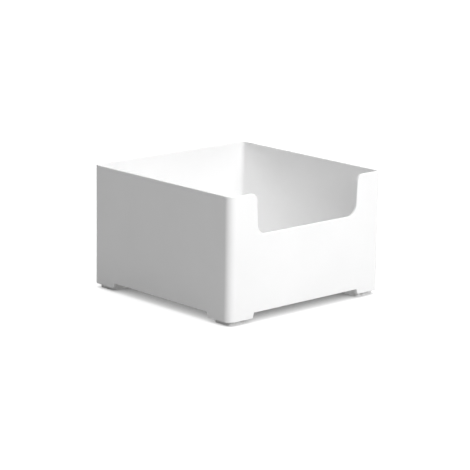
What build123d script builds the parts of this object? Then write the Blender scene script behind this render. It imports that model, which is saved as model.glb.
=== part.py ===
from build123d import *
from math import isclose
import os

# Open-topped, open-fronted storage box, moulded in one piece, standing on four press-on foot pads.
# Millimetres. +Z is up, the open front faces -Y, and the origin is on the ground under the centre.

# Outside of the box
box_width = 170.0              # left to right, over the walls
box_depth = 170.0              # front to back, over the walls
box_height = 101.5             # from the bottom of the corner feet to the rim
corner_radius = 6.5            # outside radius of the four upright corners
inner_corner_radius = 3.0      # inside radius of the same corners, so they are a little thicker than the walls

# Plastic thickness and softened edges
wall_thickness = 2.5
floor_thickness = 2.6
rim_round = 0.6                # both edges of the rim, all the way round the front opening
floor_fillet = 2.0             # inside, where the walls meet the floor

# Opening in the front wall
opening_sill_height = 67.5     # from the bottom of the corner feet to the sill
opening_sill_width = 110.0     # between the upright sides, at the sill
opening_rim_width = 113.0      # the same, at the rim: the sides lean outwards a little
opening_lower_radius = 9.0     # hollow corners at the ends of the sill
opening_upper_radius = 6.0     # rounded shoulders where the sides meet the rim

# Corner feet, left standing between the low arches in the bottom edge of each wall
foot_height = 4.4              # height of the arches
foot_length = 27.0             # along each wall from the outside of the corner, at the arch top
foot_taper = 1.5               # how much shorter a foot is at its bottom
foot_end_round = 1.0           # where the end of a foot meets its bottom, and where it meets the arch
skirt_round = 0.3              # outer edge along the bottom of the walls and feet

# Foot pads, each inside one corner foot and reaching lower, so that it drops inside the rim of a box below
pad_size = 18.0                # square
pad_drop = 3.8                 # how far a pad stands out below the feet
pad_corner_radius = 3.0
pad_edge_round = 0.4
stacking_clearance = 1.5       # between a pad and the inner face of a wall, here or in the box below

# Peg under the floor that holds each pad
peg_diameter = 4.0
peg_length = 4.0
peg_clearance = 0.05           # radial, between a peg and the hole in its pad
peg_end_gap = 0.5              # left free at the bottom of that hole

# Mark of the injection point, under the middle of the floor
gate_recess_diameter = 9.0
gate_recess_depth = 0.6
gate_stub_diameter = 2.4
gate_stub_gap = 0.2            # from the end of the stub to the underside of the floor

# Heights above the ground
foot_bottom = pad_drop
floor_bottom = foot_bottom + foot_height
floor_top = floor_bottom + floor_thickness
rim_height = foot_bottom + box_height
sill_height = foot_bottom + opening_sill_height

# Places in plan
inner_width = box_width - 2 * wall_thickness
inner_depth = box_depth - 2 * wall_thickness
pad_inset = wall_thickness + stacking_clearance + pad_size / 2
pad_x = box_width / 2 - pad_inset
pad_y = box_depth / 2 - pad_inset

# Planes of the wall faces: a sketch on them has the wall's length as X and the height as Y
front_face = Plane.XZ.offset(box_depth / 2)
right_face = Plane.YZ.offset(box_width / 2)


def arch_profile(wall_length):
    """Low arch between two feet: the feet narrow towards the ground, so the arch widens."""
    top_half = wall_length / 2 - foot_length
    bottom_half = top_half + foot_taper
    Polygon(
        (-bottom_half, foot_bottom),
        (bottom_half, foot_bottom),
        (top_half, floor_bottom),
        (-top_half, floor_bottom),
        align=None,
    )


def depth_from_outside(edge):
    """Distance from the middle of an edge to the nearest outer wall face."""
    middle = edge.center()
    return min(box_width / 2 - abs(middle.X), box_depth / 2 - abs(middle.Y))


def is_on_outside(edge):
    """True for an edge on an outer wall face or round one of the upright corners."""
    if edge.geom_type == GeomType.CIRCLE and isclose(edge.radius, corner_radius):
        return True
    return depth_from_outside(edge) < wall_thickness / 10


def runs_through_wall(edge):
    """True for a straight edge from the outer face of a wall to its inner face."""
    return isclose(depth_from_outside(edge), wall_thickness / 2, rel_tol=0.1)


with BuildPart() as box_body:
    # Block with rounded upright corners, from the bottom of the feet to the rim
    with BuildSketch(Plane.XY.offset(foot_bottom)) as block_outline:
        RectangleRounded(box_width, box_depth, corner_radius)
    extrude(amount=box_height)

    # Hollow under the floor, which leaves the feet as thin as the walls
    with BuildSketch(Plane.XY.offset(foot_bottom)) as under_floor:
        RectangleRounded(inner_width, inner_depth, inner_corner_radius)
    extrude(amount=foot_height, mode=Mode.SUBTRACT)

    # Arches: one cut runs through the front and rear walls, the other through both side walls
    with BuildSketch(front_face) as front_arch:
        arch_profile(box_width)
        fillet(front_arch.vertices().group_by(Axis.Y)[-1], foot_end_round)
    extrude(amount=-box_depth, mode=Mode.SUBTRACT)
    with BuildSketch(right_face) as side_arch:
        arch_profile(box_depth)
        fillet(side_arch.vertices().group_by(Axis.Y)[-1], foot_end_round)
    extrude(amount=-box_width, mode=Mode.SUBTRACT)
    foot_ends = box_body.edges().group_by(Axis.Z)[0].filter_by(runs_through_wall)
    fillet(foot_ends, foot_end_round)
    lower_edges = box_body.edges().filter_by_position(Axis.Z, foot_bottom, floor_bottom)
    fillet(lower_edges.filter_by(is_on_outside), skirt_round)

    # Inside of the box
    with BuildSketch(Plane.XY.offset(floor_top)) as inside_outline:
        RectangleRounded(inner_width, inner_depth, inner_corner_radius)
    extrude(amount=rim_height - floor_top, mode=Mode.SUBTRACT)
    inside_floor_edges = box_body.edges(Select.LAST).group_by(Axis.Z)[0]
    fillet(inside_floor_edges, floor_fillet)

    # Opening in the front wall, with its sill and leaning sides
    with BuildSketch(front_face) as opening_profile:
        Polygon(
            (-opening_sill_width / 2, sill_height),
            (opening_sill_width / 2, sill_height),
            (opening_rim_width / 2, rim_height),
            (-opening_rim_width / 2, rim_height),
            align=None,
        )
    extrude(amount=-wall_thickness, mode=Mode.SUBTRACT)
    sill_ends = box_body.edges(Select.LAST).filter_by(Axis.Y).group_by(Axis.Z)[0]
    fillet(sill_ends, opening_lower_radius)
    across_rim = box_body.edges().group_by(Axis.Z)[-1].filter_by(runs_through_wall)
    fillet(across_rim, opening_upper_radius)

    # Softened rim, followed down and along the front opening
    above_sill = box_body.edges().filter_by_position(Axis.Z, sill_height - rim_round, rim_height + rim_round)
    along_rim = above_sill.filter_by(runs_through_wall, reverse=True)
    fillet(along_rim, rim_round)

    # Pegs for the pads
    with BuildSketch(Plane.XY.offset(floor_bottom)) as peg_outline:
        with GridLocations(2 * pad_x, 2 * pad_y, 2, 2):
            Circle(peg_diameter / 2)
    extrude(amount=-peg_length)

    # Injection point: a shallow round recess with the trimmed stub inside it
    with BuildSketch(Plane.XY.offset(floor_bottom)) as gate_recess:
        Circle(gate_recess_diameter / 2)
        Circle(gate_stub_diameter / 2, mode=Mode.SUBTRACT)
    extrude(amount=gate_recess_depth, mode=Mode.SUBTRACT)
    with BuildSketch(Plane.XY.offset(floor_bottom)) as gate_trim:
        Circle(gate_stub_diameter / 2)
    extrude(amount=gate_stub_gap, mode=Mode.SUBTRACT)

box_body.part.label = "box_body"
os.makedirs("parts", exist_ok=True)
export_step(box_body.part, "parts/box_body.step")

# One pad per corner: side is -1 at the left and 1 at the right, end is -1 at the front and 1 at the rear
corners = {
    "front_left": (-1, -1),
    "front_right": (1, -1),
    "rear_left": (-1, 1),
    "rear_right": (1, 1),
}

for corner_name, (side, end) in corners.items():
    with BuildPart() as foot_pad:
        with BuildSketch(Plane.XY) as pad_outline:
            with Locations((side * pad_x, end * pad_y)):
                RectangleRounded(pad_size, pad_size, pad_corner_radius)
        extrude(amount=floor_bottom)
        fillet(foot_pad.edges().group_by(Axis.Z)[0], pad_edge_round)
        with Locations((side * pad_x, end * pad_y, floor_bottom)):
            Hole(peg_diameter / 2 + peg_clearance, depth=peg_length + peg_end_gap)
    foot_pad.part.label = "foot_pad_" + corner_name
    export_step(foot_pad.part, "parts/foot_pad_" + corner_name + ".step")
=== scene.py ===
from math import radians

import bmesh
import bpy
from mathutils import Matrix, Vector

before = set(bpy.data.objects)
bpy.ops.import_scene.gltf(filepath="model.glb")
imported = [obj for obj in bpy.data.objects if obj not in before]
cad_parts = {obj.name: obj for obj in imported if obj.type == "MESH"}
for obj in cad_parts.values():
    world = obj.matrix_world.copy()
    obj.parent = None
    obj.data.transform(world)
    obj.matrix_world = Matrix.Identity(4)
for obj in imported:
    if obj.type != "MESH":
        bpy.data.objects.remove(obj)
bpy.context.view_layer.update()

# ---------------------------------------------------------------------------------------------------------
# Box body. One injection moulding in white polypropylene: floor, walls, rim, front opening and corner feet
# come out of one steel tool. The tool's faces were spark eroded, which leaves the plastic satin, and the
# rim and the feet are burnished a little by hands and by other boxes stacked on them.

MM = 0.001                                # the frame is in metres


def srgb(hex_code):
    """An sRGB hex colour as the linear RGBA that shaders take."""
    channels = [int(hex_code[i:i + 2], 16) / 255 for i in (1, 3, 5)]
    return [c / 12.92 if c <= 0.04045 else ((c + 0.055) / 1.055) ** 2.4 for c in channels] + [1.0]


def add(tree, kind, inputs, **settings):
    """Adds a node with its settings. An input is a number, a colour, or another node's output to link."""
    node = tree.nodes.new(kind)
    for name, value in settings.items():
        setattr(node, name, value)
    for socket, value in inputs.items():
        if isinstance(value, bpy.types.NodeSocket):
            tree.links.new(value, node.inputs[socket])
        else:
            node.inputs[socket].default_value = value
    return node


def node_material(name):
    """A new material that is made of nodes."""
    material = bpy.data.materials.new(name)
    material.use_nodes = True
    return material


def dress(node_name, material):
    """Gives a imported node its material, and leaves its mesh and its place as they are."""
    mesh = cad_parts[node_name].data
    mesh.materials.clear()
    mesh.materials.append(material)


PLASTIC_WHITE = srgb("#F3F3F3")           # fresh moulding
PLASTIC_FLOW = srgb("#ECECEC")            # faint clouding where the melt flowed
PLASTIC_HANDLED = srgb("#E3E3E2")         # grey film that handling leaves on the edges
POLYPROPYLENE_IOR = 1.49
SATIN_ROUGHNESS = 0.46
SATIN_SPREAD = 0.04                       # how far handling moves it up or down
BURNISHED_ROUGHNESS = 0.30

FLOW_CLOUD = 45 * MM                      # size of a cloud in the colour
SPARK_GRAIN = 0.7 * MM                    # real grain is about 0.1 mm: drawn coarser, or it would not show
SPARK_GRAIN_HEIGHT = 0.10 * MM
SPARK_GRAIN_STRENGTH = 0.12
WALL_WAVE = 38 * MM                       # length of the slight waves that shrinkage leaves in flat walls
WALL_WAVE_HEIGHT = 0.6 * MM
WALL_WAVE_STRENGTH = 0.35

EDGE_WEAR_WIDTH = 0.8 * MM                # reach of the burnishing from an edge
EDGE_SAMPLES = 4
EDGE_STARTS = 0.99                        # how well rounded-over and true normals agree where wear starts
EDGE_WORN = 0.85                          # the same where wear is full
HANDLED_PATCH = 9 * MM                    # size of a patch that hands have rubbed more
RUBBED_LEAST, RUBBED_MOST = 0.42, 0.62    # values of the patches' noise
LEAST_WEAR = 0.15                         # wear between the patches, where full wear is 1
NOISE_LOW, NOISE_HIGH = 0.3, 0.7          # nearly all values of a noise texture lie between these


def spark_textured_polypropylene():
    """Satin white: a soft, wide highlight broken up by fine grain, and edges a bit glossier and greyer."""
    material = node_material("polypropylene_spark_textured")
    tree = material.node_tree
    shader = tree.nodes["Principled BSDF"]
    place = add(tree, "ShaderNodeTexCoord", {}).outputs["Object"]

    # Colour: clouds of slightly deeper white, then the film along the edges
    clouds = add(tree, "ShaderNodeTexNoise", {"Vector": place, "Scale": 1 / FLOW_CLOUD, "Detail": 3.0})
    flow = add(tree, "ShaderNodeMixRGB", {"Fac": clouds.outputs["Fac"], "Color1": PLASTIC_WHITE,
                                          "Color2": PLASTIC_FLOW})

    # Edges: where a rounded-over normal differs from the true one
    rounded = add(tree, "ShaderNodeBevel", {"Radius": EDGE_WEAR_WIDTH}, samples=EDGE_SAMPLES)
    true_normal = add(tree, "ShaderNodeNewGeometry", {}).outputs["Normal"]
    agreement = add(tree, "ShaderNodeVectorMath", {0: rounded.outputs["Normal"], 1: true_normal},
                    operation="DOT_PRODUCT")
    edge = add(tree, "ShaderNodeMapRange", {"Value": agreement.outputs["Value"], "From Min": EDGE_STARTS,
                                            "From Max": EDGE_WORN, "To Min": 0.0, "To Max": 1.0})
    patches = add(tree, "ShaderNodeTexNoise", {"Vector": place, "Scale": 1 / HANDLED_PATCH, "Detail": 4.0})
    patchy = add(tree, "ShaderNodeMapRange", {"Value": patches.outputs["Fac"], "From Min": RUBBED_LEAST,
                                              "From Max": RUBBED_MOST, "To Min": LEAST_WEAR, "To Max": 1.0})
    wear = add(tree, "ShaderNodeMath", {0: edge.outputs["Result"], 1: patchy.outputs["Result"]},
               operation="MULTIPLY").outputs["Value"]
    film = add(tree, "ShaderNodeMixRGB", {"Fac": wear, "Color1": flow.outputs["Color"],
                                          "Color2": PLASTIC_HANDLED})
    tree.links.new(film.outputs["Color"], shader.inputs["Base Color"])

    # Roughness: the patches move it a little, burnishing lowers it
    satin = add(tree, "ShaderNodeMapRange", {"Value": patches.outputs["Fac"], "From Min": NOISE_LOW,
                                             "From Max": NOISE_HIGH,
                                             "To Min": SATIN_ROUGHNESS - SATIN_SPREAD,
                                             "To Max": SATIN_ROUGHNESS + SATIN_SPREAD})
    roughness = add(tree, "ShaderNodeMix", {0: wear, 2: satin.outputs["Result"], 3: BURNISHED_ROUGHNESS})
    tree.links.new(roughness.outputs[0], shader.inputs["Roughness"])

    # Bump: spark grain on top of the walls' slight waves
    waves = add(tree, "ShaderNodeTexNoise", {"Vector": place, "Scale": 1 / WALL_WAVE, "Detail": 1.0})
    wavy = add(tree, "ShaderNodeBump", {"Height": waves.outputs["Fac"], "Strength": WALL_WAVE_STRENGTH,
                                        "Distance": WALL_WAVE_HEIGHT})
    grain = add(tree, "ShaderNodeTexNoise", {"Vector": place, "Scale": 1 / SPARK_GRAIN, "Detail": 2.0})
    grainy = add(tree, "ShaderNodeBump", {"Height": grain.outputs["Fac"], "Strength": SPARK_GRAIN_STRENGTH,
                                          "Distance": SPARK_GRAIN_HEIGHT, "Normal": wavy.outputs["Normal"]})
    tree.links.new(grainy.outputs["Normal"], shader.inputs["Normal"])

    shader.inputs["IOR"].default_value = POLYPROPYLENE_IOR
    return material


dress("box_body", spark_textured_polypropylene())

# ---------------------------------------------------------------------------------------------------------
# Foot pads. Four soft pads of milky white thermoplastic elastomer, moulded with rounded corners and pressed
# onto pegs inside the corner feet. They keep the box from sliding and drop inside the rim of a box below.

ELASTOMER_MILKY = srgb("#EBEBEB")
ELASTOMER_DUSTY = srgb("#D8D7D5")         # dust held by the soft surface
ELASTOMER_IOR = 1.50
SOFT_ROUGHNESS = 0.66
DUSTY_ROUGHNESS = 0.84
DUST_PATCH = 4 * MM                       # size of a patch of dust
DUST_STARTS, DUST_FULL = 0.45, 0.70       # values of its noise
PAD_GRAIN = 0.6 * MM                      # drawn coarser than the real one, as on the box
PAD_GRAIN_HEIGHT = 0.12 * MM
PAD_GRAIN_STRENGTH = 0.3


def moulded_elastomer():
    """Matt milky rubber: no clear highlight, a fine dull grain and a little dust."""
    material = node_material("elastomer_moulded_matt")
    tree = material.node_tree
    shader = tree.nodes["Principled BSDF"]
    place = add(tree, "ShaderNodeTexCoord", {}).outputs["Object"]

    # Colour and roughness: both follow the dust
    dust = add(tree, "ShaderNodeTexNoise", {"Vector": place, "Scale": 1 / DUST_PATCH, "Detail": 5.0})
    dusty = add(tree, "ShaderNodeMapRange", {"Value": dust.outputs["Fac"], "From Min": DUST_STARTS,
                                             "From Max": DUST_FULL, "To Min": 0.0, "To Max": 1.0})
    colour = add(tree, "ShaderNodeMixRGB", {"Fac": dusty.outputs["Result"], "Color1": ELASTOMER_MILKY,
                                            "Color2": ELASTOMER_DUSTY})
    tree.links.new(colour.outputs["Color"], shader.inputs["Base Color"])
    roughness = add(tree, "ShaderNodeMapRange", {"Value": dust.outputs["Fac"], "From Min": NOISE_LOW,
                                                 "From Max": NOISE_HIGH, "To Min": SOFT_ROUGHNESS,
                                                 "To Max": DUSTY_ROUGHNESS})
    tree.links.new(roughness.outputs["Result"], shader.inputs["Roughness"])

    # Bump: the dull grain
    grain = add(tree, "ShaderNodeTexNoise", {"Vector": place, "Scale": 1 / PAD_GRAIN, "Detail": 2.0})
    grainy = add(tree, "ShaderNodeBump", {"Height": grain.outputs["Fac"], "Strength": PAD_GRAIN_STRENGTH,
                                          "Distance": PAD_GRAIN_HEIGHT})
    tree.links.new(grainy.outputs["Normal"], shader.inputs["Normal"])

    shader.inputs["IOR"].default_value = ELASTOMER_IOR
    return material


elastomer = moulded_elastomer()
for corner in ("front_left", "front_right", "rear_left", "rear_right"):
    dress("foot_pad_" + corner, elastomer)

# ---------------------------------------------------------------------------------------------------------
# Studio floor. A sheet of white paper under the box, wide enough to fill the view from any side. It is
# bright enough to be plain white, apart from the soft painted shadow close to the walls and the feet.

PAPER_HALF_SIZE = 4.0
PAPER_GAP = 0.1 * MM                      # below the pads, so that the two faces don't lie in one plane
PAPER = srgb("#AAAAAA")                   # what it throws back of the lamps' light
PAPER_GLOW = 0.206                        # what open paper sends out besides, as a lit table does
PAPER_GLOW_PAINTED_SHADE = 0.137                # painted shade: the glow lowered close to a wall, which shuts half of the room out
PAPER_GLOW_PAINTED_BOUNCE = 0.30               # painted light: the glow raised deep under the box, standing in for light that white faces pass on
PAPER_BY_WALL = 0.6                       # openness of the paper close to a wall: it is 1 in the open
PAPER_UNDER_BOX = 0.3                     # openness below which the paper lies under the box
PAPER_LAMP_SHARE = srgb("#868686")        # how much of the lamps' own shadows the camera sees
PAPER_PAINTED_BRIGHTNESS = 1.16                   # brightness painted on open paper for the camera; painted shade lowers it where the box shuts out the room
PAPER_PAINTED_SHADE_CURVE = 0.50                  # under 1, so that the painted shade is pale and keeps close to the box
OPENNESS_REACH = 0.25                     # how far away the box still shuts out the room
OPENNESS_SAMPLES = 24


def seen_by_camera(tree):
    """1 where the camera sees a surface, itself or by way of gloss or glass, and 0 for light on its way."""
    path = add(tree, "ShaderNodeLightPath", {}).outputs
    reflected = add(tree, "ShaderNodeMath", {0: path["Is Glossy Ray"], 1: path["Is Transmission Ray"]},
                    operation="MAXIMUM")
    seen = add(tree, "ShaderNodeMath", {0: path["Is Camera Ray"], 1: reflected.outputs["Value"]},
               operation="MAXIMUM")
    return seen.outputs["Value"]


def paper_backdrop():
    """Matt white paper: plain white in the open, with a soft grey painted shade where the box stands over
    it.
    """
    material = node_material("paper_backdrop")
    tree = material.node_tree
    tree.nodes.remove(tree.nodes["Principled BSDF"])
    openness = add(tree, "ShaderNodeAmbientOcclusion", {"Distance": OPENNESS_REACH},
                   samples=OPENNESS_SAMPLES).outputs["AO"]

    # Lighting the box: the paper throws back the lamps' light, and glows; the glow is painted lower close
    # to the walls and painted higher under the box
    thrown_back = add(tree, "ShaderNodeBsdfDiffuse", {"Color": PAPER})
    glow_with_painted_shade = add(tree, "ShaderNodeMapRange", {"Value": openness, "From Min": PAPER_BY_WALL,
                                               "To Min": PAPER_GLOW_PAINTED_SHADE, "To Max": PAPER_GLOW})
    glow_with_painted_light = add(tree, "ShaderNodeMapRange", {"Value": openness, "From Max": PAPER_UNDER_BOX,
                                            "To Min": PAPER_GLOW_PAINTED_BOUNCE,
                                            "To Max": glow_with_painted_shade.outputs["Result"]})
    glow = add(tree, "ShaderNodeEmission", {"Strength": glow_with_painted_light.outputs["Result"]})
    thrown_back_and_painted_glow = add(tree, "ShaderNodeAddShader", {0: thrown_back.outputs["BSDF"], 1: glow.outputs["Emission"]})

    # Seen: open paper is white, and painted shade darkens it where the box shuts out the room: an emission
    # that follows the openness, not the lamps
    painted_shade = add(tree, "ShaderNodeMath", {0: openness, 1: PAPER_PAINTED_SHADE_CURVE}, operation="POWER")
    painted_brightness = add(tree, "ShaderNodeMath", {0: painted_shade.outputs["Value"], 1: PAPER_PAINTED_BRIGHTNESS},
               operation="MULTIPLY")
    painted_shade_light = add(tree, "ShaderNodeEmission", {"Strength": painted_brightness.outputs["Value"]})
    lamp_light = add(tree, "ShaderNodeBsdfDiffuse", {"Color": PAPER_LAMP_SHARE})
    lamps_and_painted_shade = add(tree, "ShaderNodeAddShader", {0: lamp_light.outputs["BSDF"],
                                              1: painted_shade_light.outputs["Emission"]})
    surface = add(tree, "ShaderNodeMixShader", {0: seen_by_camera(tree), 1: thrown_back_and_painted_glow.outputs["Shader"],
                                                2: lamps_and_painted_shade.outputs["Shader"]})

    # From below the camera looks through the paper, so that the feet can be seen
    below = add(tree, "ShaderNodeNewGeometry", {}).outputs["Backfacing"]
    straight = add(tree, "ShaderNodeLightPath", {}).outputs["Is Camera Ray"]
    through = add(tree, "ShaderNodeMath", {0: below, 1: straight}, operation="MULTIPLY")
    clear = add(tree, "ShaderNodeBsdfTransparent", {})
    whole = add(tree, "ShaderNodeMixShader", {0: through.outputs["Value"], 1: surface.outputs["Shader"],
                                              2: clear.outputs["BSDF"]})
    tree.links.new(whole.outputs["Shader"], tree.nodes["Material Output"].inputs["Surface"])
    return material


paper_mesh = bpy.data.meshes.new("studio_floor")
paper_grid = bmesh.new()
bmesh.ops.create_grid(paper_grid, x_segments=1, y_segments=1, size=PAPER_HALF_SIZE)
paper_grid.to_mesh(paper_mesh)
paper_grid.free()
paper_mesh.materials.append(paper_backdrop())

floor = bpy.data.objects.new("studio_floor", paper_mesh)
floor.location.z = -PAPER_GAP
bpy.context.scene.collection.objects.link(floor)

# ---------------------------------------------------------------------------------------------------------
# Studio light. Soft boxes overhead, in front, high up at the front left and at the right. The left wall
# gets only grazing light from them, besides what the paper sends out, which makes it a flat mid grey.

LAMPS_AIM = Vector((0.0, 0.0, 0.05))      # about the middle of the box
LAMPS = {
    # name: (place, width in metres, watts)
    "overhead_softbox": ((0.0, 0.0, 1.4), 2.0, 15.9),
    "front_softbox": ((0.0, -1.386, 0.80), 0.6, 14.3),
    "high_front_softbox": ((-0.352, -0.966, 1.226), 0.6, 5.4),
    "right_softbox": ((1.226, 0.0, 1.028), 1.0, 7.2),
}
ROOM_LIGHT = 0.02                         # from all around, on the box
ROOM_SEEN = 1.0                           # plain white, for the camera


def softbox(name, place, width, watts):
    """A square lamp that points at the box."""
    lamp = bpy.data.lights.new(name, "AREA")
    lamp.shape = "SQUARE"
    lamp.size = width
    lamp.energy = watts
    holder = bpy.data.objects.new(name, lamp)
    holder.location = place
    holder.rotation_euler = (LAMPS_AIM - Vector(place)).to_track_quat("-Z", "Y").to_euler()
    bpy.context.scene.collection.objects.link(holder)


for lamp_name, (lamp_place, lamp_width, lamp_watts) in LAMPS.items():
    softbox(lamp_name, lamp_place, lamp_width, lamp_watts)


def studio_room():
    """A dim room for the box, which the camera and the reflections see as plain white."""
    world = bpy.data.worlds.new("studio_room")
    bpy.context.scene.world = world
    world.use_nodes = True
    tree = world.node_tree
    strength = add(tree, "ShaderNodeMapRange", {"Value": seen_by_camera(tree), "To Min": ROOM_LIGHT,
                                                "To Max": ROOM_SEEN})
    background = tree.nodes["Background"]
    background.inputs["Color"].default_value = srgb("#FFFFFF")
    tree.links.new(strength.outputs["Result"], background.inputs["Strength"])


studio_room()

# ---------------------------------------------------------------------------------------------------------
# Camera. A long lens, a little above the box and to the left of its front, as in the photograph.

CAMERA_PLACE = (-1.1827, -1.2824, 0.4572)
CAMERA_TURN = radians(42.645)             # from looking straight at the rear, to the right
CAMERA_DIP = radians(13.215)              # below the horizon
CAMERA_ROLL = radians(0.81)
LENS = 164.05                             # millimetres
SENSOR_WIDTH = 36.0                       # millimetres

camera_data = bpy.data.cameras.new("camera")
camera_data.lens = LENS
camera_data.sensor_width = SENSOR_WIDTH
camera = bpy.data.objects.new("camera", camera_data)
camera.matrix_world = (
    Matrix.Translation(CAMERA_PLACE)
    @ Matrix.Rotation(-CAMERA_TURN, 4, "Z")
    @ Matrix.Rotation(radians(90) - CAMERA_DIP, 4, "X")
    @ Matrix.Rotation(CAMERA_ROLL, 4, "Z")
)
bpy.context.scene.collection.objects.link(camera)
bpy.context.scene.camera = camera
bpy.context.scene.view_settings.view_transform = "Standard"
